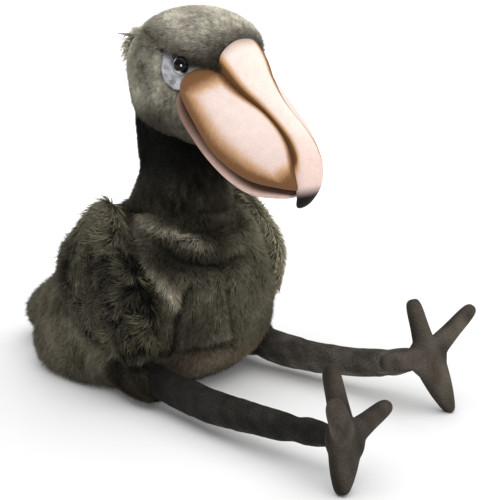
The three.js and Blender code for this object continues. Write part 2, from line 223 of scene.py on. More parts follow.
def within_upright(p, table, grow=0, corner=2.3, ends=(3, 3)):
    """True where a point lies inside such a form."""
    low, high = table[0][0] - grow, table[-1][0] + grow
    t = np.clip((p[:, 2] - low) / (high - low), 0, 1)
    half, front, back, middle, open_ = level_row(table, p[:, 2], t, ends)
    open_ = np.maximum(open_, TINY)
    a = np.abs(p[:, 0] - middle) / np.maximum((half + grow) * open_, TINY)
    b = np.abs(p[:, 1] - (front + back) / 2) / np.maximum(((back - front) / 2 + grow) * open_, TINY)
    return a**corner + b**corner < 1


def path_frames(path, key, side):
    """Along a path at each key from 0 to 1: its middle, its own across, up and way, and its two half sizes."""
    path = np.asarray(path, float)
    length = np.concatenate([[0], np.cumsum(np.linalg.norm(np.diff(path[:, :3], axis=0), axis=1))])
    table = np.column_stack([length, path])
    at = lambda share: np.moveaxis(station(table, np.clip(share, 0, 1) * length[-1]), 0, -1)
    row = at(key)
    way = unit(at(key + 0.005)[..., :3] - at(key - 0.005)[..., :3])
    side = np.asarray(side, float)
    across = unit(side - way * (way @ side)[..., None])
    return row[..., :3], across, np.cross(across, way), way, row[..., 3], row[..., 4]


def swept(path, grow=0, corner=2.2, ends=(2.6, 2.6), around=48, along=60, side=(1, 0, 0)):
    """Sections square to a path: a rounded rectangle of the path's own half width and half thickness."""
    t, turn = grid(around, along)
    middle, across, up, way, half, thick = path_frames(path, t, side)
    open_ = opened(t, ends)
    a = (half + grow) * open_ * power(np.cos(turn), 2 / corner)
    b = (thick + grow) * open_ * power(np.sin(turn), 2 / corner)
    return middle + across * a[..., None] + up * b[..., None] + way * ((2 * t - 1) * grow)[..., None]


def within_swept(p, path, grow=0, corner=2.2, ends=(2.6, 2.6), side=(1, 0, 0), steps=60, slack=3):
    """True where a point lies inside such a form, measured at the nearest of so many steps along its path."""
    t = np.linspace(0, 1, steps)
    middle, across, up, way, half, thick = path_frames(path, t, side)
    near = np.argmin(((p[:, None] - middle[None]) ** 2).sum(-1), axis=1)
    off = p - middle[near]
    open_ = np.maximum(opened(t, ends)[near], TINY)
    a = np.abs((off * across[near]).sum(-1)) / ((half[near] + grow) * open_)
    b = np.abs((off * up[near]).sum(-1)) / ((thick[near] + grow) * open_)
    beyond = np.abs((off * way[near]).sum(-1)) > slack
    return (a**corner + b**corner < 1) & ~beyond


def bill_point(x, s, u):
    """A point of the bill from x, s along it and u up from it, with the bill pitched forward and down."""
    cos, sin = math.cos(BILL_PITCH), math.sin(BILL_PITCH)
    x, s, u = np.broadcast_arrays(x, s, u)
    return np.stack([x, BILL_BASE[0] - cos * s - sin * u, BILL_BASE[1] - sin * s + cos * u], -1)


def bill_own(p):
    """The s and u of points of the bill."""
    cos, sin = math.cos(BILL_PITCH), math.sin(BILL_PITCH)
    y, z = BILL_BASE[0] - p[..., 1], p[..., 2] - BILL_BASE[1]
    return cos * y - sin * z, sin * y + cos * z


def ridge_row(s):
    """The ridge's middle, half width and half height at s, before its hook."""
    return station(STRAIGHT_RIDGE, np.clip(s, STRAIGHT_RIDGE[0][0], STRAIGHT_RIDGE[-1][0]))


def brow(y):
    """The height of the brow line at y, in side view."""
    line = np.array(BROW, float)
    return np.interp(y, line[:, 0], line[:, 1])


def skull_side(y, z):
    """How far out the skull's side is at y and z."""
    corner = EASE["skull"]["corner"]
    low, high = SKULL[0][0], SKULL[-1][0]
    half, front, back = station(SKULL, z)
    open_ = opened((z - low) / (high - low), EASE["skull"]["ends"])
    b = np.abs(y - (front + back) / 2) / ((back - front) / 2 * open_)
    return half * open_ * np.maximum(1 - b**corner, 0.0) ** (1 / corner)


def from_line(p, line):
    """How far each point is from a line of straight pieces."""
    line = np.array(line, float)
    near = np.full(p.shape[:-1], 1e9)
    for a, b in zip(line[:-1], line[1:]):
        along = b - a
        share = np.clip((p - a) @ along / (along @ along), 0, 1)
        near = np.minimum(near, np.linalg.norm(p - a - share[..., None] * along, axis=-1))
    return near


def on_torso(p):
    """The points moved level outwards, from the torso's axis, onto the torso's own outline."""
    corner = EASE["torso"]["corner"]
    t = np.clip((p[..., 2] - TORSO[0][0]) / (TORSO[-1][0] - TORSO[0][0]), 0, 1)
    half, front, back = station(TORSO, p[..., 2])
    open_ = np.maximum(opened(t, EASE["torso"]["ends"]), 0.05)
    x, y = p[..., 0], p[..., 1] - (front + back) / 2
    level = np.abs(x / half / open_) ** corner + np.abs(y / ((back - front) / 2) / open_) ** corner
    level = np.maximum(level ** (1 / corner), 0.3)
    return np.stack([x / level, (front + back) / 2 + y / level, p[..., 2]], -1)


# Meshes
def link(name, data):
    """A new object in the scene's own collection."""
    thing = bpy.data.objects.new(name, data)
    bpy.context.scene.collection.objects.link(thing)
    return thing


def closed_faces(rows, columns):
    """Faces of a grid whose first and last rows are poles: triangles at the poles and quads between."""
    near = np.arange(columns)
    far = (near + 1) % columns
    ring = lambda r: 1 + (r - 1) * columns
    caps = [np.stack([np.zeros(columns, int), ring(1) + far, ring(1) + near], -1),
            np.stack([np.full(columns, ring(rows)), ring(rows - 1) + near, ring(rows - 1) + far], -1)]
    r = np.arange(1, rows - 1)[:, None]
    quads = np.stack([ring(r) + near, ring(r) + far, ring(r + 1) + far, ring(r + 1) + near], -1)
    return [*caps, quads.reshape(-1, 4)]


def flat(surface):
    """The points of a closed grid as one list, with each pole once."""
    return np.concatenate([surface[0, :1], surface[1:-1].reshape(-1, surface.shape[-1]), surface[-1, :1]])


def flip_out(points, faces):
    """The same faces, all turned over if together they enclose a negative volume."""
    volume = sum(
        np.einsum("ij,ij->", points[f[:, 0]], np.cross(points[f[:, k]], points[f[:, k + 1]]))
        for f in faces for k in range(1, f.shape[1] - 1)
    )
    return faces if volume > 0 else [f[:, ::-1].copy() for f in faces]


def set_tint(mesh, colour):
    """Gives each point of a mesh the colour that the materials read."""
    tint = mesh.attributes.new("tint", "FLOAT_COLOR", "POINT")
    rgba = np.column_stack([colour, np.ones(len(colour))])
    tint.data.foreach_set("color", rgba.astype(np.float32).ravel())


def add_mesh(name, points, faces, colour=None, corner_uv=None, uv_name="UVMap"):
    """A mesh object from points in millimetres and lists of faces, with a colour for each point."""
    mesh = bpy.data.meshes.new(name)
    mesh.vertices.add(len(points))
    mesh.vertices.foreach_set("co", (points * MM).astype(np.float32).ravel())
    index = np.concatenate([f.ravel() for f in faces]).astype(np.int32)
    sizes = np.concatenate([np.full(len(f), f.shape[1], np.int32) for f in faces])
    mesh.loops.add(len(index))
    mesh.loops.foreach_set("vertex_index", index)
    mesh.polygons.add(len(sizes))
    mesh.polygons.foreach_set("loop_start", np.concatenate([[0], np.cumsum(sizes)[:-1]]).astype(np.int32))
    mesh.update(calc_edges=True)
    mesh.polygons.foreach_set("use_smooth", np.ones(len(sizes), bool))
    if corner_uv is not None:
        layer = mesh.uv_layers.new(name=uv_name)
        layer.uv.foreach_set("vector", corner_uv.astype(np.float32).ravel())
    if colour is not None:
        set_tint(mesh, colour)
    return link(name, mesh)


def dress(piece, finish, nodes):
    """A padded piece's finish, and the solids it stands for."""
    piece.data.materials.append(finish)
    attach(piece, "root")
    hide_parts(*nodes)


def skin_piece(name, surface, colour, finish, nodes):
    """A padded piece from a closed grid of points: its poles are closed, and its map is turn by length."""
    rows, columns = surface.shape[0] - 1, surface.shape[1]
    points = flat(surface)
    faces = flip_out(points, closed_faces(rows, columns))
    index = np.concatenate([f.ravel() for f in faces])
    last = len(points) - 1
    turn = np.where((index == 0) | (index == last), 0, (index - 1) % columns) / columns
    length = np.where(index == 0, 0, np.where(index == last, 1, (1 + (index - 1) // columns) / rows))
    sizes = np.concatenate([np.full(len(f), f.shape[1]) for f in faces])
    most = np.repeat(np.maximum.reduceat(turn, np.concatenate([[0], np.cumsum(sizes)[:-1]])), sizes)
    turn = np.where(most - turn > 0.5, turn + 1, turn)
    piece = add_mesh(name, points, faces, flat(colour), np.column_stack([turn, length]))
    dress(piece, finish, nodes)


# Materials: each takes its markings from the piece's own tint and adds its pile in Object coordinates
def dial(node, values):
    """Sets a node's inputs by their names."""
    for name, value in values.items():
        node.inputs[name].default_value = value


def node_setup(name, roughness, sheen=0, sheen_tint=(1, 1, 1)):
    """A material with its nodes, its links, its shader and the place of each point on the piece."""
    material = bpy.data.materials.new(name)
    material.use_nodes = True
    nodes, links = material.node_tree.nodes, material.node_tree.links
    shader = nodes["Principled BSDF"]
    dial(shader, {"Roughness": roughness, "Specular IOR Level": 0.04, "Sheen Weight": sheen,
                  "Sheen Roughness": 0.5, "Sheen Tint": (*sheen_tint, 1)})
    return material, nodes, links, shader, nodes.new("ShaderNodeTexCoord").outputs["Object"]


def ranged(nodes, links, value, low, high, to_low, to_high):
    """A node that takes a value from between low and high to between to_low and to_high."""
    spread = nodes.new("ShaderNodeMapRange")
    dial(spread, {"From Min": low, "From Max": high, "To Min": to_low, "To Max": to_high})
    links.new(value, spread.inputs["Value"])
    return spread


def speckle(nodes, links, place, scale, low, high, detail=3.0):
    """A fine noise, and a grey value between low and high from it, to multiply a colour with."""
    noise = nodes.new("ShaderNodeTexNoise")
    dial(noise, {"Scale": scale, "Detail": detail})
    links.new(place, noise.inputs["Vector"])
    value = noise.outputs["Fac"]
    return value, ranged(nodes, links, value, 0.3, 0.7, low, high).outputs["Result"]


def times(nodes, links, colour, grey):
    """The colour times a grey value."""
    scale = nodes.new("ShaderNodeVectorMath")
    scale.operation = "SCALE"
    links.new(colour, scale.inputs[0])
    links.new(grey, scale.inputs["Scale"])
    return scale.outputs["Vector"]


def flecked_tint(nodes, links, place, *fleck):
    """The piece's own tint times a fine speckle, and the speckle's noise."""
    tint = nodes.new("ShaderNodeAttribute")
    tint.attribute_name = "tint"
    noise, grey = speckle(nodes, links, place, *fleck)
    return times(nodes, links, tint.outputs["Color"], grey), noise


def pile_fabric(name, fine, coarse, relief, sheen=0.1, rib=None):
    """A pile fabric: the tint, mottled by a fine and a coarse noise, with the pile's relief as bump, and fine
    ribs across it where rib gives the scale of their bands."""
    material, nodes, links, shader, place = node_setup(name, 0.95, sheen)
    colour, height = flecked_tint(nodes, links, place, *fine)
    colour = times(nodes, links, colour, speckle(nodes, links, place, *coarse)[1])
    if rib:
        wave = nodes.new("ShaderNodeTexWave")
        wave.bands_direction = "DIAGONAL"
        dial(wave, {"Scale": rib, "Distortion": 1.5, "Detail Scale": 3})
        links.new(place, wave.inputs["Vector"])
        band = wave.outputs["Fac"]
        colour = times(nodes, links, colour, ranged(nodes, links, band, 0, 1, 0.82, 1.1).outputs["Result"])
        both = nodes.new("ShaderNodeMath")
        both.operation = "ADD"
        links.new(band, both.inputs[0])
        links.new(height, both.inputs[1])
        height = both.outputs["Value"]
    links.new(colour, shader.inputs["Base Color"])
    bump = nodes.new("ShaderNodeBump")
    dial(bump, {"Strength": relief[0], "Distance": relief[1]})
    links.new(height, bump.inputs["Height"])
    links.new(bump.outputs["Normal"], shader.inputs["Normal"])
    return material


def plain_tint(name, fleck, *looks):
    """A material that shows its piece's own tint under a fine speckle, and its shader."""
    material, nodes, links, shader, place = node_setup(name, *looks)
    links.new(flecked_tint(nodes, links, place, *fleck)[0], shader.inputs["Base Color"])
    return material, shader


FUR_SKIN = pile_fabric("fur_ground", (700, 0.6, 1.3), (60, 0.85, 1.15), (0.8, 0.002))
FUR_COAT, _ = plain_tint("fur_tufts", (260, 0.72, 1.3), 0.9, 0.04, (0.9, 0.88, 0.8))
VELOUR = pile_fabric("leg_velour", (900, 0.45, 1.6, 5), (70, 0.8, 1.25), (0.8, 0.001), sheen=0.03)
SOLE = pile_fabric("sole_velour", (1300, 0.6, 1.4, 4), (60, 0.82, 1.2), (0.35, 0.0005), sheen=0.04, rib=330)
BILL_VELOUR = pile_fabric("bill_velour", (1300, 0.88, 1.07, 4), (120, 0.96, 1.03), (0.5, 0.0008))
LOWER_VELOUR = pile_fabric("lower_bill_velour", (1300, 0.8, 1.15, 4), (90, 0.9, 1.1), (0.5, 0.0006))
PATCH_FABRIC = pile_fabric("eye_patch_pile", (900, 0.7, 1.2, 4), (90, 0.85, 1.1), (0.9, 0.001))
EYE_GLOSS, eye_shader = plain_tint("eye_gloss", (900, 0.92, 1.05), 0.06)
dial(eye_shader, {"Specular IOR Level": 0.0, "Coat Weight": 0.3, "Coat Roughness": 0.05})

# Fur colours, and how much darker the skin under a coat is painted, as painted shade between the tufts' roots
FUR_DARK = paint(50, 46, 36)
FUR_MID = paint(136, 130, 111)
FUR_CREAM = paint(236, 224, 200)
SKIN_SHADE = 0.3

# Grains: ripples stretched down the body, and backwards over the crown
DOWN = np.array([1, 1, 0.3])
BACK = np.array([1, 0.3, 1])


def body_mark(p):
    """The body: uneven grey-brown, cream where the pile parts at the folds, painted shade in the creases, under
    the neck and wings and towards the floor, a painted highlight on the far side of the chest, and browner low
    on the belly."""
    out = on_torso(p)
    shade = mix(FUR_DARK, FUR_MID, uneven(p, 0.7, (0.2, 60, 3), (0.16, 18, 13), (0.18, 5, 14, DOWN)))
    front = smooth(-40, -80, p[..., 1])
    # Painted highlight: the far side of the chest is painted paler, as lit from that side.
    shade = mix(shade, paint(152, 147, 124), 0.55 * smooth(-24, 24, p[..., 0]) * front)
    shade = mix(shade, paint(148, 132, 112), 0.7 * smooth(48, 34, p[..., 2]) * front)
    # Painted shade under the neck, high on the near side of the chest.
    shade = mix(shade, FUR_DARK * 0.8, 0.8 * smooth(98, 118, p[..., 2]) * smooth(10, -20, p[..., 0]) * front)
    # Painted shade, darker towards the floor.
    shade = shade * (0.5 + 0.5 * smooth(2, 34, p[..., 2]))[..., None]
    # Painted shade in the creases.
    for line, wide, deep in CREASES:
        shade = shade * (1 - 0.11 * deep * np.exp(-((from_line(out, line) / (wide * 0.75)) ** 2)))[..., None]
    for line in PALE_FOLDS:
        part = np.exp(-((from_line(out, line) / PALE_WIDTH) ** 2)) * uneven(p, 0.75, (0.3, 7, 17))
        part = part * smooth(-16, -34, p[..., 0])
        shade = mix(shade, FUR_CREAM, 0.9 * np.clip(part, 0, 1))
    return shade


def wing_mark(p):
    """The wings: dark whorls between paler ones, with the body's grey at the shoulder and on the far wing."""
    shade = mix(paint(12, 11, 7), paint(112, 107, 88),
                uneven(p, 0.34, (0.3, 30, 5), (0.26, 12, 15), (0.2, 5, 16, DOWN)))
    shade = mix(shade, paint(140, 135, 114), 0.65 * smooth(112, 160, p[..., 2]))
    shade = mix(shade, paint(112, 107, 90), 0.5 * smooth(-10, 20, p[..., 1]))
    front = smooth(-50, -78, p[..., 1]) * smooth(0, 40, p[..., 0])
    return mix(shade, paint(176, 170, 144), 0.75 * front + 0.2 * smooth(0, 40, p[..., 0]))


def tail_mark(p):
    """The tail: as the body, and a little darker."""
    return body_mark(p) * 0.72


def thigh_mark(p):
    """The thighs: short dark pile, paler where the body's fur meets them."""
    shade = mix(paint(30, 27, 20), paint(86, 80, 67), uneven(p, 0.45, (0.25, 20, 23)))
    return mix(shade, paint(104, 99, 82), 0.7 * smooth(-60, -30, p[..., 1]))


def head_mark(p):
    """The head: pale grey-brown cheeks, painted shade low on the jaw on the near side, and darker at the nape.
    """
    shade = mix(paint(88, 84, 70), paint(216, 211, 192),
                uneven(p, 0.5, (0.25, 26, 8), (0.1, 9, 18), (0.22, 4, 28, DOWN)))
    # Painted shade low on the jaw, on the near side.
    shade = mix(shade, paint(52, 48, 37), 0.9 * smooth(252, 222, p[..., 2]) * smooth(20, -20, p[..., 0]))
    return mix(shade, paint(128, 124, 108), 0.45 * smooth(-26, -6, p[..., 1]))


def neck_mark(p):
    """The neck: dark, partly its own colour and partly painted shade, with painted shadow darkest under the jaw
    on the near side, and paler behind and on the far side, with less painted shade.
    """
    # Dark base: partly the pile's own colour, partly painted shade.
    shade = mix(paint(16, 14, 9), paint(86, 82, 66), uneven(p, 0.42, (0.2, 34, 9), (0.2, 6, 19, DOWN)))
    shade = mix(shade, paint(122, 117, 100), 0.75 * smooth(-36, -8, p[..., 1]))
    shade = mix(shade, FUR_MID, 0.5 * smooth(10, 30, p[..., 0]))
    # Painted shadow under the jaw, on the near side.
    under = smooth(160, 196, p[..., 2]) * smooth(-8, -30, p[..., 1])
    return mix(shade, paint(4, 4, 3), 0.95 * under * smooth(34, 10, p[..., 0]))


def crown_mark(p):
    """The crown: pale grey with darker streaks, painted shade along the brow, and dark brown above the bill."""
    streaks = uneven(p, 0.7, (0.18, 30, 11), (0.28, 4, 21, BACK))
    shade = mix(paint(156, 148, 130), paint(240, 234, 217), streaks)
    # Painted shade along the brow, low on the crown's front half.
    low = smooth(22, 3, p[..., 2] - brow(p[..., 1])) * smooth(-20, -60, p[..., 1])
    shade = mix(shade, paint(82, 75, 60), 0.85 * low)
    front = smooth(-98, -117, p[..., 1]) * smooth(304, 284, p[..., 2])
    return mix(shade, paint(58, 48, 35), 0.85 * front)


# Tufts
class Blade:
    """How a kind of tuft is joined up: its faces, its points' places in its patch, and their heights."""

    def __init__(self, faces, patch, height):
        self.faces, self.patch, self.height = np.array(faces), np.array(patch) * 0.0015, np.array(height)


SHORT = Blade([[0, 1, 3], [1, 2, 3], [2, 0, 3], [2, 1, 0]], [[-1, -1], [1, -1], [0, -1], [0, 1]],
              [0, 0, 0, 1])
BENT = Blade([[0, 1, 4], [0, 4, 3], [1, 2, 5], [1, 5, 4], [2, 0, 3], [2, 3, 5], [3, 4, 6], [4, 5, 6],
              [5, 3, 6], [2, 1, 0]],
             [[-1, -1], [1, -1], [0, -1], [-1, 0], [1, 0], [0, 0], [0, 1]], [0, 0, 0, 0.55, 0.55, 0.55, 1])
MOST_FACES = 190000
LOWEST = 0.4


def face_frames(surface):
    """Of each cell of a closed grid: its area, and its normal turned outwards."""
    following = np.roll(surface, -1, axis=1)
    a, b, c, d = surface[:-1], following[:-1], following[1:], surface[1:]
    normal = np.cross(c - a, d - b) / 2
    area = np.linalg.norm(normal, axis=-1)
    volume = (a * normal).sum()
    return area, unit(normal) * (1 if volume > 0 else -1)


def roots(surface, count, draw, keep):
    """Points drawn evenly over a skin by area, with their normals and places on its map, where keep says."""
    area, normal = face_frames(surface)
    middle = (surface[:-1] + np.roll(surface, -1, axis=1)[1:]) / 2
    shape = area.shape
    weight = area.ravel() * keep(middle.reshape(-1, 3))
    cell = draw.choice(weight.size, count, p=weight / weight.sum())
    r, c = cell // shape[1], cell % shape[1]
    a, b = draw.random(count)[:, None], draw.random(count)[:, None]
    n = (c + 1) % shape[1]
    low = surface[r, c] * (1 - b) + surface[r, n] * b
    high = surface[r + 1, c] * (1 - b) + surface[r + 1, n] * b
    point = low * (1 - a) + high * a
    place = np.column_stack([(c + b[:, 0]) / shape[1], (r + a[:, 0]) / shape[0]])
    kept = keep(point) > 0
    return point[kept], normal[r, c][kept], place[kept]


def combed(normal, lie, spread, draw):
    """The lie brought onto the skin and turned a little for each tuft, with its side and the turn."""
    lie = unit(lie - normal * (lie * normal).sum(-1, keepdims=True))
    turn = draw.normal(0, spread, len(normal))[:, None]
    lie = unit(lie + np.cross(normal, lie) * turn)
    return lie, np.cross(normal, lie), turn


def leaning(normal, lie, lift):
    """The direction that rises from the lie by the angle lift."""
    return normal * np.sin(lift)[:, None] + lie * np.cos(lift)[:, None]


def spikes(point, normal, lie, length, width, lift, draw):
    """Short pile: a thin three-sided spike from its root, leaning along the lie of the coat."""
    lie, side, _ = combed(normal, lie, 0.25, draw)
    way = unit(leaning(normal, lie, lift))
    base = point - normal * 0.5
    half = side * (width / 2)[:, None]
    corners = [base - half, base + half, base + np.cross(way, side) * (-width * 0.6)[:, None]]
    return np.stack([*corners, base + way * length[:, None]], 1)


def tufts(point, normal, lie, length, width, lift, draw, droop=None):
    """Longer pile: a three-sided blade, bent at the middle towards the lie of the coat by droop. Each has
    three points at the root, three at the bend and one at the tip."""
    droop = lift * 0.8 if droop is None else droop
    lie, side, turn = combed(normal, lie, 0.22, draw)
    first = unit(leaning(normal, lie, lift))
    second = unit(leaning(normal, lie, lift - droop) + side * turn * 0.5)
    base = point - normal * 0.8
    bend = point + first * (length * 0.5)[:, None]
    tip = bend + second * (length * 0.5)[:, None]
    half = side * (width / 2)[:, None]
    ridge = np.cross(lie, side) * (width * 0.45)[:, None]
    corners = [base - half, base + half, base + ridge,
               bend - half * 0.75, bend + half * 0.75, bend + ridge * 0.75, tip]
    return np.stack(corners, 1)


def coat(name, parts, blade=SHORT):
    """Joins tufts into pieces of so many faces at most. Each part holds the tufts, their tints at root and
    tip, and their roots' places on the skin's map, where each tuft takes a patch 0.003 across."""
    blades, low, high, place = (np.concatenate(column) for column in zip(*parts))
    order = np.argsort(place[:, 1], kind="stable")
    share = math.ceil(len(blades) * len(blade.faces) / MOST_FACES)
    size = len(blade.height)
    for k in range(share):
        pick = order[k * len(order) // share:(k + 1) * len(order) // share]
        points = blades[pick].reshape(-1, 3)
        points[:, 2] = np.maximum(points[:, 2], LOWEST)
        faces = (blade.faces[None] + size * np.arange(len(pick))[:, None, None]).reshape(-1, 3)
        height = np.broadcast_to(blade.height, (len(pick), size))
        colour = mix(low[pick][:, None], high[pick][:, None], height)
        corner = (place[pick][:, None] + blade.patch[None])[:, blade.faces]
        label = name if share == 1 else f"{name}_{k + 1}"
        piece = add_mesh(label, points, [faces], colour.reshape(-1, 3), corner.reshape(-1, 2), "OFBake")
        piece.data.materials.append(FUR_COAT)
        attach(piece, "root")


def grow_coat(surface, count, seed, mark, lie, length, width, lift, hidden,
              shape=spikes, root_shade_and_tipping=0.72, shadow=None):
    """Tufts over one skin: the lie is a field of directions, hidden says where none grow, and shadow gives
    how much darker they are beside the pieces that lie over them."""
    draw = np.random.default_rng(seed)
    point, normal, place = roots(surface, count, draw, lambda p: (~hidden(p)).astype(float))
    n = len(point)
    size = np.clip(draw.normal(1, 0.18, n), 0.55, 1.5)
    rise = lift * np.clip(draw.normal(1, 0.3, n), 0.3, 1.8)
    blades = shape(point, normal, lie(point, normal), length * size,
                   width * np.clip(draw.normal(1, 0.2, n), 0.6, 1.5), rise, draw)
    tone = np.clip(draw.normal(1, 0.16, n), 0.5, 1.6)[:, None]
    shade = mark(point) * tone * (1 + 0.12 * ripple(point, 9, seed + 1)[:, None])
    if shadow is not None:
        shade = shade * (1 - shadow(point))[:, None]
    # The roots are painted darker and the tips lighter: partly the pile's own paler tips, partly painted shade
    # among the roots.
    return blades, shade * (1 - root_shade_and_tipping), shade * (1 + root_shade_and_tipping * 0.7), place


def field(*way, swirl=0.35, scale=45, seed=1):
    """A field of directions: the given way, turned by a smooth uneven swirl."""
    way = np.array(way, float)

    def lie(p, normal):
        side = np.cross(normal, way)
        return way + side * (swirl * ripple(p, scale, seed))[:, None] * 1.6

    return lie


# Skins and coats
def inset(kind, table, form=upright, **size):
    """The skin of a form, which lies inside its solid by the depth of its pile."""
    return form(table, -PILE[kind], **size, **EASE[kind])


def raised(surface, floor):
    """The skin with no point below a floor."""
    surface[..., 2] = np.maximum(surface[..., 2], floor)
    return surface


def fur_skin(name, skin, mark, node, ground=SKIN_SHADE):
    """The piece that a coat grows from, its tint darkened by ground as painted shade between the tufts' roots.
    """
    skin_piece(name, skin, mark(skin) * ground, FUR_SKIN, [node])


def torso_folds(surface):
    """The torso's folds: the skin moves in along each crease line, as a valley whose depth falls off with the
    distance from the line, and it swells between them. Only points above the seat move."""
    normal = face_frames(surface)[1]
    normal = np.concatenate([normal[:1], (normal[1:] + normal[:-1]) / 2, normal[-1:]])
    normal = unit(normal + np.roll(normal, 1, axis=1))
    out = on_torso(surface)
    depth = np.zeros(surface.shape[:2])
    for line, wide, deep in CREASES:
        depth = np.maximum(depth, deep * np.exp(-((from_line(out, line) / (wide * 1.1)) ** 2)))
    depth += 1.5 * ripple(surface, 48, 21)
    return surface - normal * (depth * smooth(4, 24, surface[..., 2]))[..., None]


torso_skin = raised(torso_folds(inset("torso", TORSO, around=200, along=120)), 0.6)
skull_skin = inset("skull", SKULL)
skull_skin[..., 2] = np.minimum(skull_skin[..., 2], brow(skull_skin[..., 1]) + 4)
jaw_skin = inset("jaw", JAW, swept, around=80)
crown_skin = inset("crown", CROWN)
crown_skin = raised(crown_skin, brow(crown_skin[..., 1]) + 1.5)
neck_skin = inset("neck", NECK, around=110, along=60)
tail_skin = raised(inset("tail", TAIL, swept, around=80), 2)

in_torso = lambda p, grow=0: within_upright(p, TORSO, grow, **EASE["torso"])
in_neck = lambda p, grow=0: within_upright(p, NECK, grow, **EASE["neck"])
in_skull = lambda p, grow=0: within_upright(p, SKULL, grow, **EASE["skull"]) & (p[:, 2] < brow(p[:, 1]) + 4)
in_jaw = lambda p, grow=0: within_swept(p, JAW, grow, **EASE["jaw"])
in_wing = lambda p, side, grow=0: within_upright(p, WINGS[side], grow, **EASE["wing"])
in_tail = lambda p, grow=0: within_swept(p, TAIL, grow)


def ridge_level(p):
    """How far a point is out from the ridge's middle, as a share of the ridge's own section there."""
    s, u = bill_own(p)
    row = ridge_row(s)
    level = (np.abs(p[..., 0]) / row[1]) ** 2.2 + (np.abs(u - row[0]) / row[2]) ** 2.2
    return level ** (1 / 2.2)


def in_bill(p, grow=0):
    """True where a point lies in the bill's padded sides or its ridge."""
    s, u = bill_own(p)
    half, low, middle, top = station(BILL_SIDES, s)
    inside = (s > BILL_SIDES[0][0] - grow) & (s < BILL_SIDES[-1][0]) & (u < top + grow) & (u > low - 14)
    high = np.where(u > middle, (u - middle) / (top + grow - middle), (middle - u) / (middle - low + 14))
    sides = inside & ((np.abs(p[:, 0]) / (half + grow)) ** 2 + np.clip(high, 0, 2) ** 2 < 1)
    return sides | ((ridge_level(p) < 1 + grow / 15) & (s > BILL_RIDGE[0][0]))


def in_patch(p):
    """True where a point lies inside the outline of the bare patch, seen from the side."""
    outline = np.array(PATCH, float)
    inside = np.zeros(len(p), bool)
    for (y0, z0), (y1, z1) in zip(outline, np.roll(outline, -1, axis=0)):
        crosses = (z0 > p[:, 2]) != (z1 > p[:, 2])
        at = y0 + (p[:, 2] - z0) / (z1 - z0 if z1 != z0 else 1) * (y1 - y0)
        inside ^= crosses & (p[:, 1] < at)
    return inside & (np.abs(p[:, 0]) > 20)


def in_crease(p):
    """True along the bottom of the two belly creases, where the pile turns under."""
    out = on_torso(p)
    return np.minimum(from_line(out, CREASES[1][0]), from_line(out, CREASES[2][0])) < 1.3


def off_head(p):
    """True where the bill, the patches, the neck or the crown lie over the head."""
    return in_bill(p, -1) | in_patch(p) | in_neck(p, -5) | (p[:, 2] > brow(p[:, 1]) + 3)


def torso_shadow(p):
    """Darker beside the wings and under the neck's foot."""
    near = np.maximum.reduce([in_wing(p, side, 5) * 0.45 + in_wing(p, side, 1) * 0.25 for side in WINGS])
    return np.maximum(near, in_neck(p, 3) * 0.3)


fur_skin("torso_skin", torso_skin, body_mark, "torso")
fur_skin("neck_skin", neck_skin, neck_mark, "neck")
fur_skin("head_skin", skull_skin, head_mark, "head")
fur_skin("jaw_skin", jaw_skin, head_mark, "head")
fur_skin("crown_skin", crown_skin, crown_mark, "crown", ground=0.35)
fur_skin("tail_skin", tail_skin, body_mark, "tail")

coat("coat_torso", [grow_coat(
    torso_skin, 92000, 101, body_mark, field(-0.25, 0.1, -1, swirl=0.55, seed=2), 9.5, 0.95, 0.42,
    lambda p: ((p[:, 2] < 2.5) | in_crease(p) | in_neck(p, -4) | in_wing(p, "right", -7)
               | in_wing(p, "left", -7) | in_tail(p, -6)),
    shadow=torso_shadow)])
coat("coat_neck", [grow_coat(
    neck_skin, 38000, 102, neck_mark, field(0, 0.1, -1, swirl=0.4, seed=3), 6, 0.75, 0.42,
    lambda p: in_torso(p, -7) | in_skull(p, -4) | in_jaw(p, -4),
    shadow=lambda p: (in_jaw(p, 5) | in_skull(p, 5)) * 0.6)])
coat("coat_head", [
    grow_coat(skull_skin, 46000, 103, head_mark, field(0, 0.8, -0.6, swirl=0.4, scale=25, seed=4),
              5.5, 0.62, 0.4, lambda p: off_head(p) | in_jaw(p, -4)),
    grow_coat(jaw_skin, 24000, 104, head_mark, field(0, 0.7, -0.5, swirl=0.4, scale=25, seed=5),
              5.5, 0.62, 0.4, lambda p: off_head(p) | in_skull(p, -4))])
coat("coat_crown", [grow_coat(
    crown_skin, 46000, 105, crown_mark, field(-0.2, 1, -0.3, scale=30, seed=6), 6, 0.62, 0.4,
    lambda p: in_bill(p) | (p[:, 2] < brow(p[:, 1]) + 0.5))])
coat("coat_tail", [grow_coat(
    tail_skin, 15000, 106, tail_mark, field(0, 0.8, -0.6, swirl=0.5, seed=7), 10, 1.1, 0.42,
    lambda p: in_torso(p, -7) | (p[:, 2] < 3))])

# For each wing: how many tufts, their seed, the lie's swirl and its seed, and the tufts' length and lift
WING_COATS = {"right": (14000, 106, 1.1, 7, 13, 0.45), "left": (10000, 108, 0.5, 9, 10, 0.36)}
for side, (count, seed, swirl, swirl_seed, length, lift) in WING_COATS.items():
    wing_skin = inset("wing", WINGS[side], around=100)
    fur_skin(f"wing_skin_{side}", wing_skin, wing_mark, f"wing_{side}")
    coat(f"coat_wing_{side}", [grow_coat(
        wing_skin, count, seed, wing_mark, field(0, 0.9, -0.9, swirl=swirl, scale=30, seed=swirl_seed),
        length, 1.35, lift, lambda p: in_torso(p, -7), tufts, 0.85)], BENT)
    thigh_skin = raised(inset("thigh", THIGHS[side], swept, around=60, along=40), 1)
    fur_skin(f"thigh_skin_{side}", thigh_skin, body_mark, f"thigh_{side}")
    coat(f"coat_thigh_{side}", [grow_coat(
        thigh_skin, 9000, seed + 4, thigh_mark, field(0, -1, -0.3, swirl=0.4, seed=9), 6.5, 0.95, 0.38,
        lambda p: in_torso(p, -7) | (p[:, 2] < 2))])


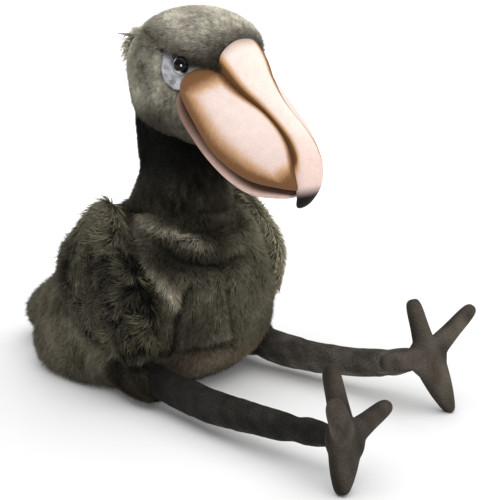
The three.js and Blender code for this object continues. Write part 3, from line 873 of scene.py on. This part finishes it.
def nape_crest():
    """The tuft at the nape: long locks rooted in a patch on the back of the skull, splayed and lifted."""
    draw = np.random.default_rng(120)
    n = 900
    x = draw.uniform(-16, 16, n)
    z = draw.uniform(262, 292, n)
    y = -7 - 0.012 * x * x
    point = np.stack([x, y, z], -1)
    normal = unit(np.stack([x * 0.02, np.full(n, 1.0), np.full(n, 0.12)], -1))
    lie = np.stack([x * 0.03, np.full(n, 0.3), -0.8 + 0.9 * draw.random(n)], -1)
    reach = draw.uniform(11, 24, n) * (0.7 + 0.3 * smooth(262, 280, z))
    blades = tufts(point, normal, lie, reach, draw.uniform(1.3, 2.4, n), draw.uniform(0.5, 1.1, n), draw,
                   draw.uniform(0.3, 0.9, n))
    shade = paint(226, 220, 200) * draw.uniform(0.5, 1.1, n)[:, None]
    place = np.column_stack([0.25 + x / 300, (z - 206) / 106])
    # The roots are painted darker and the tips lighter: partly the locks' own paler tips, partly painted shade
    # among the roots.
    return blades, shade * 0.6, shade * 1.2, place


coat("coat_crest", [nape_crest()], BENT)


# Bill
def bill_sides():
    """Both padded sides as one form: each section is round above its widest level and fuller below it."""
    t, turn = grid(220, 200)
    s = BILL_SIDES[0][0] + (BILL_SIDES[-1][0] - BILL_SIDES[0][0]) * t
    half, low, middle, top = station(BILL_SIDES, s)
    open_ = opened(t, (8, 5))
    sin, cos = np.sin(turn), np.cos(turn)
    rounder = np.where(sin > 0, 2 / 1.9, 2 / 3)
    u = middle + np.where(sin > 0, top - middle, middle - low) * open_ * power(sin, rounder)
    points = bill_point(half * open_ * power(cos, rounder), s, u)
    seam = np.maximum(ridge_level(points) - 1, 0)
    inwards = unit(points - bill_point(0, s, middle))
    return points - inwards * (2.2 * np.exp(-((seam / 0.14) ** 2)))[..., None], s, seam, turn


def bill_side_mark(s, seam, turn, fuzz):
    """Cream in the middle of each panel and pink lower down, with brown sprayed in from seams and edges, and
    painted shade on the panels' undersides.
    """
    rise = np.sin(turn)
    drop = smooth(0.75, -0.2, rise)
    base = mix(paint(248, 232, 224), paint(228, 190, 180), 0.25 + 0.6 * drop + 0.15 * smooth(50, 105, s))
    edge = np.maximum(smooth(0.6, 0.05, seam), smooth(25, 1, s))
    edge = np.maximum(edge, smooth(0.6, -0.08, rise))
    edge = np.maximum(edge, smooth(92, 112, s))
    edge = np.clip(edge + 0.045 * fuzz * smooth(0.05, 0.4, edge), 0, 1)
    tan = mix(base, paint(206, 162, 124), smooth(0, 0.5, edge))
    brown = mix(tan, paint(124, 86, 54), smooth(0.35, 0.95, edge))
    # Painted shade on the undersides of the panels.
    return mix(brown, paint(60, 40, 28), smooth(-0.5, -0.85, rise) * 0.9)


def bill_ridge_mark(points):
    """Cream along the top, brown beside both seams, pink at the hook, and a dark nail at its end."""
    s, u = bill_own(points)
    row = ridge_row(s)
    side = points[..., 0] / row[1]
    low = smooth(0.62, 0.02, (u - row[0]) / row[2]) * (side < 0)
    far = smooth(0.28, 0.62, side) * smooth(0.86, 0.7, side)
    low = np.maximum(low, far) * smooth(112, 98, s)
    base = mix(paint(250, 234, 224), paint(246, 218, 208), smooth(70, 112, s))
    tan = mix(base, paint(228, 180, 132), smooth(0.02, 0.5, low))
    tan = mix(tan, paint(150, 106, 66), 0.9 * smooth(4, -14, s))
    brown = mix(tan, paint(112, 76, 44), smooth(0.4, 1, low))
    nail = smooth(184, 173, points[..., 2] + 0.25 * (points[..., 1] + 180))
    return mix(brown, paint(22, 16, 15), nail)


def bill_lower():
    """The lower bill: a shallow padded tray below the sides, its section a rounded rectangle."""
    t, turn = grid(140, 120)
    s = BILL_LOWER[0][0] + (BILL_LOWER[-1][0] - BILL_LOWER[0][0]) * t
    half, above, below, edge = station(BILL_LOWER, s)
    open_ = opened(t, 4)
    sin, cos = np.sin(turn), np.cos(turn)
    u = edge + np.where(sin > 0, above, below) * open_ * sin
    return bill_point(half * open_ * power(cos, 2 / 2.6), s, u), s, sin


sides, side_s, side_seam, side_turn = bill_sides()
side_tint = bill_side_mark(side_s, side_seam, side_turn, ripple(sides, 2.4, 51, waves=15))
skin_piece("bill_panels", sides, side_tint, BILL_VELOUR, ["bill_side_right", "bill_side_left"])
ridge = swept([[0, *bill_point(0, s, u)[1:], half, high] for s, u, half, high in BILL_RIDGE],
              around=90, along=170, ends=(8, 2.4))
skin_piece("bill_ridge_panel", ridge, bill_ridge_mark(ridge), BILL_VELOUR, ["bill_ridge"])
lower, lower_s, lower_sin = bill_lower()
lower_tint = mix(paint(146, 118, 104), paint(226, 192, 180), smooth(20, 84, lower_s))
# Painted shade on the lower bill's top, under the upper bill.
lower_tint = mix(lower_tint, paint(78, 56, 46), smooth(0.0, 0.5, lower_sin))
lower_tint = mix(lower_tint, paint(150, 122, 108), smooth(-0.5, -0.95, lower_sin) * 0.6)
skin_piece("bill_lower_pad", lower, lower_tint, LOWER_VELOUR, ["bill_lower"])


# Brow, eye patches and eyes
def brow_fringe():
    """The pile that hangs from the crown's edge over the eye patches, combed forwards and down, its dark tone
    painted shade under the brow, darkest at its lower ends.
    """
    draw = np.random.default_rng(121)
    n = 5200
    y = draw.uniform(-114, -58, n)
    way = np.where(draw.random(n) < 0.5, -1.0, 1.0)
    z = brow(y) + draw.uniform(-0.5, 4, n)
    x = way * (skull_side(y, z) - 0.6)
    lie = np.stack([way * 0.1, np.full(n, -0.7), np.full(n, -1.0)], -1)
    normal = np.stack([way, np.zeros(n), np.full(n, 0.1)], -1)
    reach = draw.uniform(5, 8, n) * (1 + 0.35 * smooth(-104, -92, y) * smooth(-70, -82, y))
    blades = spikes(np.stack([x, y, z], -1), unit(normal), lie, reach, draw.uniform(0.6, 1.0, n),
                    draw.uniform(0.1, 0.4, n), draw)
    tone = draw.uniform(0.6, 1.3, n)[:, None]
    # Painted shade: the fringe is painted dark, and darker at its lower ends, under the brow.
    shade = paint(84, 78, 66) * tone * (0.5 + 0.5 * smooth(0, 4, z - brow(y)))[:, None]
    return blades, shade * 0.5, shade * 1.2, np.column_stack([0.5 + y / 400, 0.5 + x / 400])


def patch_surface(way):
    """The patch as a thin cushion: its outline shrunk towards its middle ring by ring, laid on the skull's
    side and domed by a millimetre, and a flat back behind it."""
    outline = np.array(PATCH, float)
    share = np.linspace(0, 1, 97)[:-1] * len(outline)
    i = share.astype(int)
    f = (share - i)[:, None]
    f = f * f * (3 - 2 * f) * 0.35 + f * 0.65
    ring = outline[i] * (1 - f) + outline[(i + 1) % len(outline)] * f
    middle = np.array([-88.0, 268.0])
    t = np.concatenate([np.linspace(0, 1, PATCH_RINGS), np.linspace(1, 0, 6)[1:]])
    yz = middle + (ring[None] - middle) * t[:, None, None] * 0.98
    front = np.arange(len(t))[:, None] < PATCH_RINGS
    rise = np.where(front, -0.6 + 1.1 * (1 - t[:, None] ** 6), -4.5)
    x = skull_side(yz[..., 0], yz[..., 1]) + rise
    return np.concatenate([way * np.maximum(x, 20)[..., None], yz], -1)


def eye_dome(way):
    """The eye: a dome bulging from the side of the head, with its back tucked in."""
    t, turn = grid(64, 48)
    x = EYE["x"] + (2 * t - 1) * EYE["bulge"]
    radius = EYE["radius"] * opened(t, 2)
    return np.stack([way * x, EYE["y"] + radius * np.cos(turn), EYE["z"] + radius * np.sin(turn)], -1)


def eye_mark(p):
    """Black, with a pale crescent at the back and below."""
    y, z = p[..., 1] - EYE["y"], p[..., 2] - EYE["z"]
    rim = smooth(4.1, 4.5, np.hypot(y, z)) * smooth(-1.5, 1.5, 0.9 * y - 0.45 * z)
    return mix(paint(6, 6, 7), paint(196, 198, 202), rim)


def patch_mark(p):
    """Pale grey and mottled, with painted shade under the brow and round the eye."""
    mottle = np.clip(uneven(p, 0.4, (0.35, 12, 31), (0.3, 4, 32)), 0, 1)
    tint = mix(paint(212, 214, 222), paint(118, 117, 118), mottle)
    # Painted shade under the brow.
    tint = mix(tint, paint(52, 48, 44), smooth(12, 4, brow(p[..., 1]) - p[..., 2]) * 0.85)
    socket = np.hypot(p[..., 1] - EYE["y"], p[..., 2] - EYE["z"])
    # Painted shade round the eye, where it sits in the patch.
    return mix(tint, paint(60, 60, 64), smooth(8.5, 6.8, socket) * 0.7)


coat("coat_brow", [brow_fringe()])
for side, way in (("right", -1), ("left", 1)):
    patch, dome = patch_surface(way), eye_dome(way)
    skin_piece(f"eye_patch_pad_{side}", patch, patch_mark(patch), PATCH_FABRIC, [f"eye_patch_{side}"])
    skin_piece(f"eye_button_{side}", dome, eye_mark(dome), EYE_GLOSS, [f"eye_{side}"])

# For each leg: its seam's turn, its painted lightness (the far leg painted lighter, as lit), where the painted
# shade at its root ends, and its sole's painted lightness
LEG_LOOKS = {"right": (0.5 * math.pi, 0.85, (76, 150), 0.85), "left": (0.72 * math.pi, 3.2, (70, 110), 1.2)}


# Legs and feet
def leg_surface(path, seam_turn):
    """A leg with soft lumps along it, and a seam along its upper side as a narrow valley."""
    skin = inset("leg", path, swept, around=90, along=180)
    t, turn = grid(90, 180)
    out = unit(skin - path_frames(path, t, (1, 0, 0))[0])
    lump = 0.45 * ripple(skin, 40, 41) + 0.15 * ripple(skin, 14, 42)
    seam = np.exp(-((np.angle(np.exp(1j * (turn - seam_turn))) / 0.06) ** 2))
    cuff = 1.1 * np.exp(-(((t - 0.8) / 0.03) ** 2))
    depth = lump * opened(t, 6) - 0.9 * seam * opened(t, 8) - cuff
    return skin + out * depth[..., None], seam, np.sin(turn)


def leg_mark(skin, seam, rise, light, root):
    """Dark velour, mottled, darkest in its seam, with painted shade at its root and underneath, a painted
    highlight along the top, and scaled by light, a painted lightness for each leg.
    """
    tint = mix(paint(24, 22, 20), paint(76, 73, 67), uneven(skin, 0.34, (0.12, 26, 43), (0.1, 8, 45)))
    # The seam is dark; light is a painted lightness for each leg, the far one painted lighter, as lit.
    tint = mix(tint, paint(12, 11, 10), seam * 0.85) * light
    # Painted shade at the root, under the body.
    tint = tint * (0.2 + 0.8 * smooth(*root, -skin[..., 1]))[..., None]
    # Painted shade underneath and a painted highlight along the top.
    return tint * (0.7 + 0.9 * smooth(0.35, 1, rise))[..., None]


def foot_forms(face, middle, toes):
    """The foot's pad and its toes, each a swept form. The toe that points down is the heel."""
    forms = [swept([[*(middle + face * TOE["thick"] * k), TOE["pad"], TOE["pad"]] for k in (-1, 0, 1)],
                   -PILE["foot"], corner=2, ends=(2, 2), around=40, along=24)]
    for x, y, z, half in toes:
        tip = np.array([x, y, z], float)
        widths = HEEL_WIDTHS if z < 0 else (TOE["root"], half * 1.05, half * 0.9)
        rows = [[*(middle + tip * reach), width, TOE["thick"]]
                for reach, width in zip((-0.2, 0.5, 1), widths)]
        forms.append(swept(rows, -PILE["foot"], ends=(2.6, 4.5), around=32, along=40,
                           side=unit(np.cross(face, tip))))
    return forms


def voxel_joined(name, forms):
    """Closed grids joined by a voxel remesh and smoothed, as one mesh."""
    points, faces, base = [], [], 0
    for form in forms:
        own = flat(form)
        faces += [f + base for f in flip_out(own, closed_faces(form.shape[0] - 1, form.shape[1]))]
        points.append(own)
        base += len(own)
    raw = add_mesh(name + "_raw", np.concatenate(points), faces)
    bpy.context.view_layer.objects.active = raw
    remesh = raw.modifiers.new("join", "REMESH")
    remesh.mode = "VOXEL"
    remesh.voxel_size = VOXEL
    relax = raw.modifiers.new("relax", "SMOOTH")
    relax.factor = 0.5
    relax.iterations = 14
    made = bpy.data.meshes.new_from_object(raw.evaluated_get(bpy.context.evaluated_depsgraph_get()))
    bpy.data.objects.remove(raw)
    return made


def soft_piece(name, mesh, colour_of, finish, nodes):
    """A padded piece from a joined mesh, tinted by a function of its points."""
    mesh.name = name
    co = np.empty(len(mesh.vertices) * 3, np.float32)
    mesh.vertices.foreach_get("co", co)
    points = co.reshape(-1, 3).astype(float) / MM
    points[:, 2] = np.maximum(points[:, 2], 0.2)
    mesh.vertices.foreach_set("co", (points * MM).astype(np.float32).ravel())
    set_tint(mesh, colour_of(points))
    mesh.polygons.foreach_set("use_smooth", np.ones(len(mesh.polygons), bool))
    mesh.materials.clear()
    dress(link(name, mesh), finish, nodes)


def sole_mark(face, middle, light):
    """The foot's tint: brown-grey, with painted shade round the edge, darker than on the flat of the sole, and
    a painted lightness for each foot.
    """
    def tint(p):
        # Painted shade round the edge; light is a painted lightness, the far foot painted lighter.
        sole = light * (0.55 + 0.45 * smooth(1, TOE["thick"] * 0.9, (p - middle) @ face))
        return mix(paint(54, 49, 43), paint(92, 85, 76), uneven(p, 0.5, (0.35, 20, 44))) * sole[..., None]

    return tint


for side, (seam_turn, light, root, sole_light) in LEG_LOOKS.items():
    leg, seam, rise = leg_surface(LEGS[side], seam_turn)
    skin_piece(f"leg_sleeve_{side}", leg, leg_mark(leg, seam, rise, light, root), VELOUR, [f"leg_{side}"])
    face, middle = unit(np.array(FEET[side]["face"], float)), np.array(FEET[side]["middle"], float)
    joined = voxel_joined(f"foot_{side}", foot_forms(face, middle, FEET[side]["toes"]))
    soft_piece(f"foot_pad_{side}", joined, sole_mark(face, middle, sole_light), SOLE, [f"foot_{side}"])

# Camera, floor and lights
CAMERA_PLACE = (-0.6732, -0.7735, 0.356)
CAMERA_WAY = (0.719, 0.695)
CAMERA_PITCH = math.radians(14)


def aimed(thing, place, way):
    """Puts a camera or lamp at a place, looking along a way."""
    thing.location = place
    thing.rotation_mode = "QUATERNION"
    thing.rotation_quaternion = way.to_track_quat("-Z", "Y")
    return thing


def place_camera():
    """The photograph's view: 14 degrees down from the front right, through a long lens."""
    data = bpy.data.cameras.new("camera")
    data.sensor_width = 36
    data.lens = 86.4
    data.clip_start, data.clip_end = 0.01, 60
    level = math.cos(CAMERA_PITCH)
    way = Vector((CAMERA_WAY[0] * level, CAMERA_WAY[1] * level, -math.sin(CAMERA_PITCH)))
    bpy.context.scene.camera = aimed(link("camera", data), CAMERA_PLACE, way)


def soft_box(name, place, size, watts):
    """A square lamp at a place, aimed at the toy."""
    data = bpy.data.lights.new(name, "AREA")
    data.shape = "SQUARE"
    data.size = size
    data.energy = watts
    return aimed(link(name, data), place, Vector((0, -0.08, 0.1)) - Vector(place))


def pale_floor():
    """A wide pale floor: one square with an even matt finish, which glows more the further out it is."""
    reach = 30.0
    corners = np.array([[-reach, -reach, 0], [reach, -reach, 0], [reach, reach, 0], [-reach, reach, 0]]) / MM
    floor = add_mesh("floor", corners, [np.array([[0, 1, 2, 3]])])
    material, nodes, links, shader, place = node_setup("floor_white", 0.9)
    dial(shader, {"Base Color": (0.95, 0.95, 0.95, 1), "Emission Color": (1, 1, 1, 1)})
    distance = nodes.new("ShaderNodeVectorMath")
    distance.operation = "LENGTH"
    links.new(place, distance.inputs[0])
    glow = ranged(nodes, links, distance.outputs["Value"], 0.3, 1.6, 0.04, 0.9)
    glow.interpolation_type = "SMOOTHSTEP"
    links.new(glow.outputs["Result"], shader.inputs["Emission Strength"])
    floor.data.materials.append(material)


place_camera()
pale_floor()
soft_box("top_box", (0.15, -0.1, 1.6), 3.0, 37)
soft_box("front_box", (-0.2, -1.6, 1.0), 0.8, 3)
glint = soft_box("glint_box", (-1.2, -0.35, 0.24), 0.4, 32)
glint.visible_diffuse = False
world = bpy.data.worlds.new("studio")
world.use_nodes = True
dial(world.node_tree.nodes["Background"], {"Color": (1, 1, 1, 1), "Strength": 0.42})
bpy.context.scene.world = world
bpy.context.scene.view_settings.view_transform = "Standard"
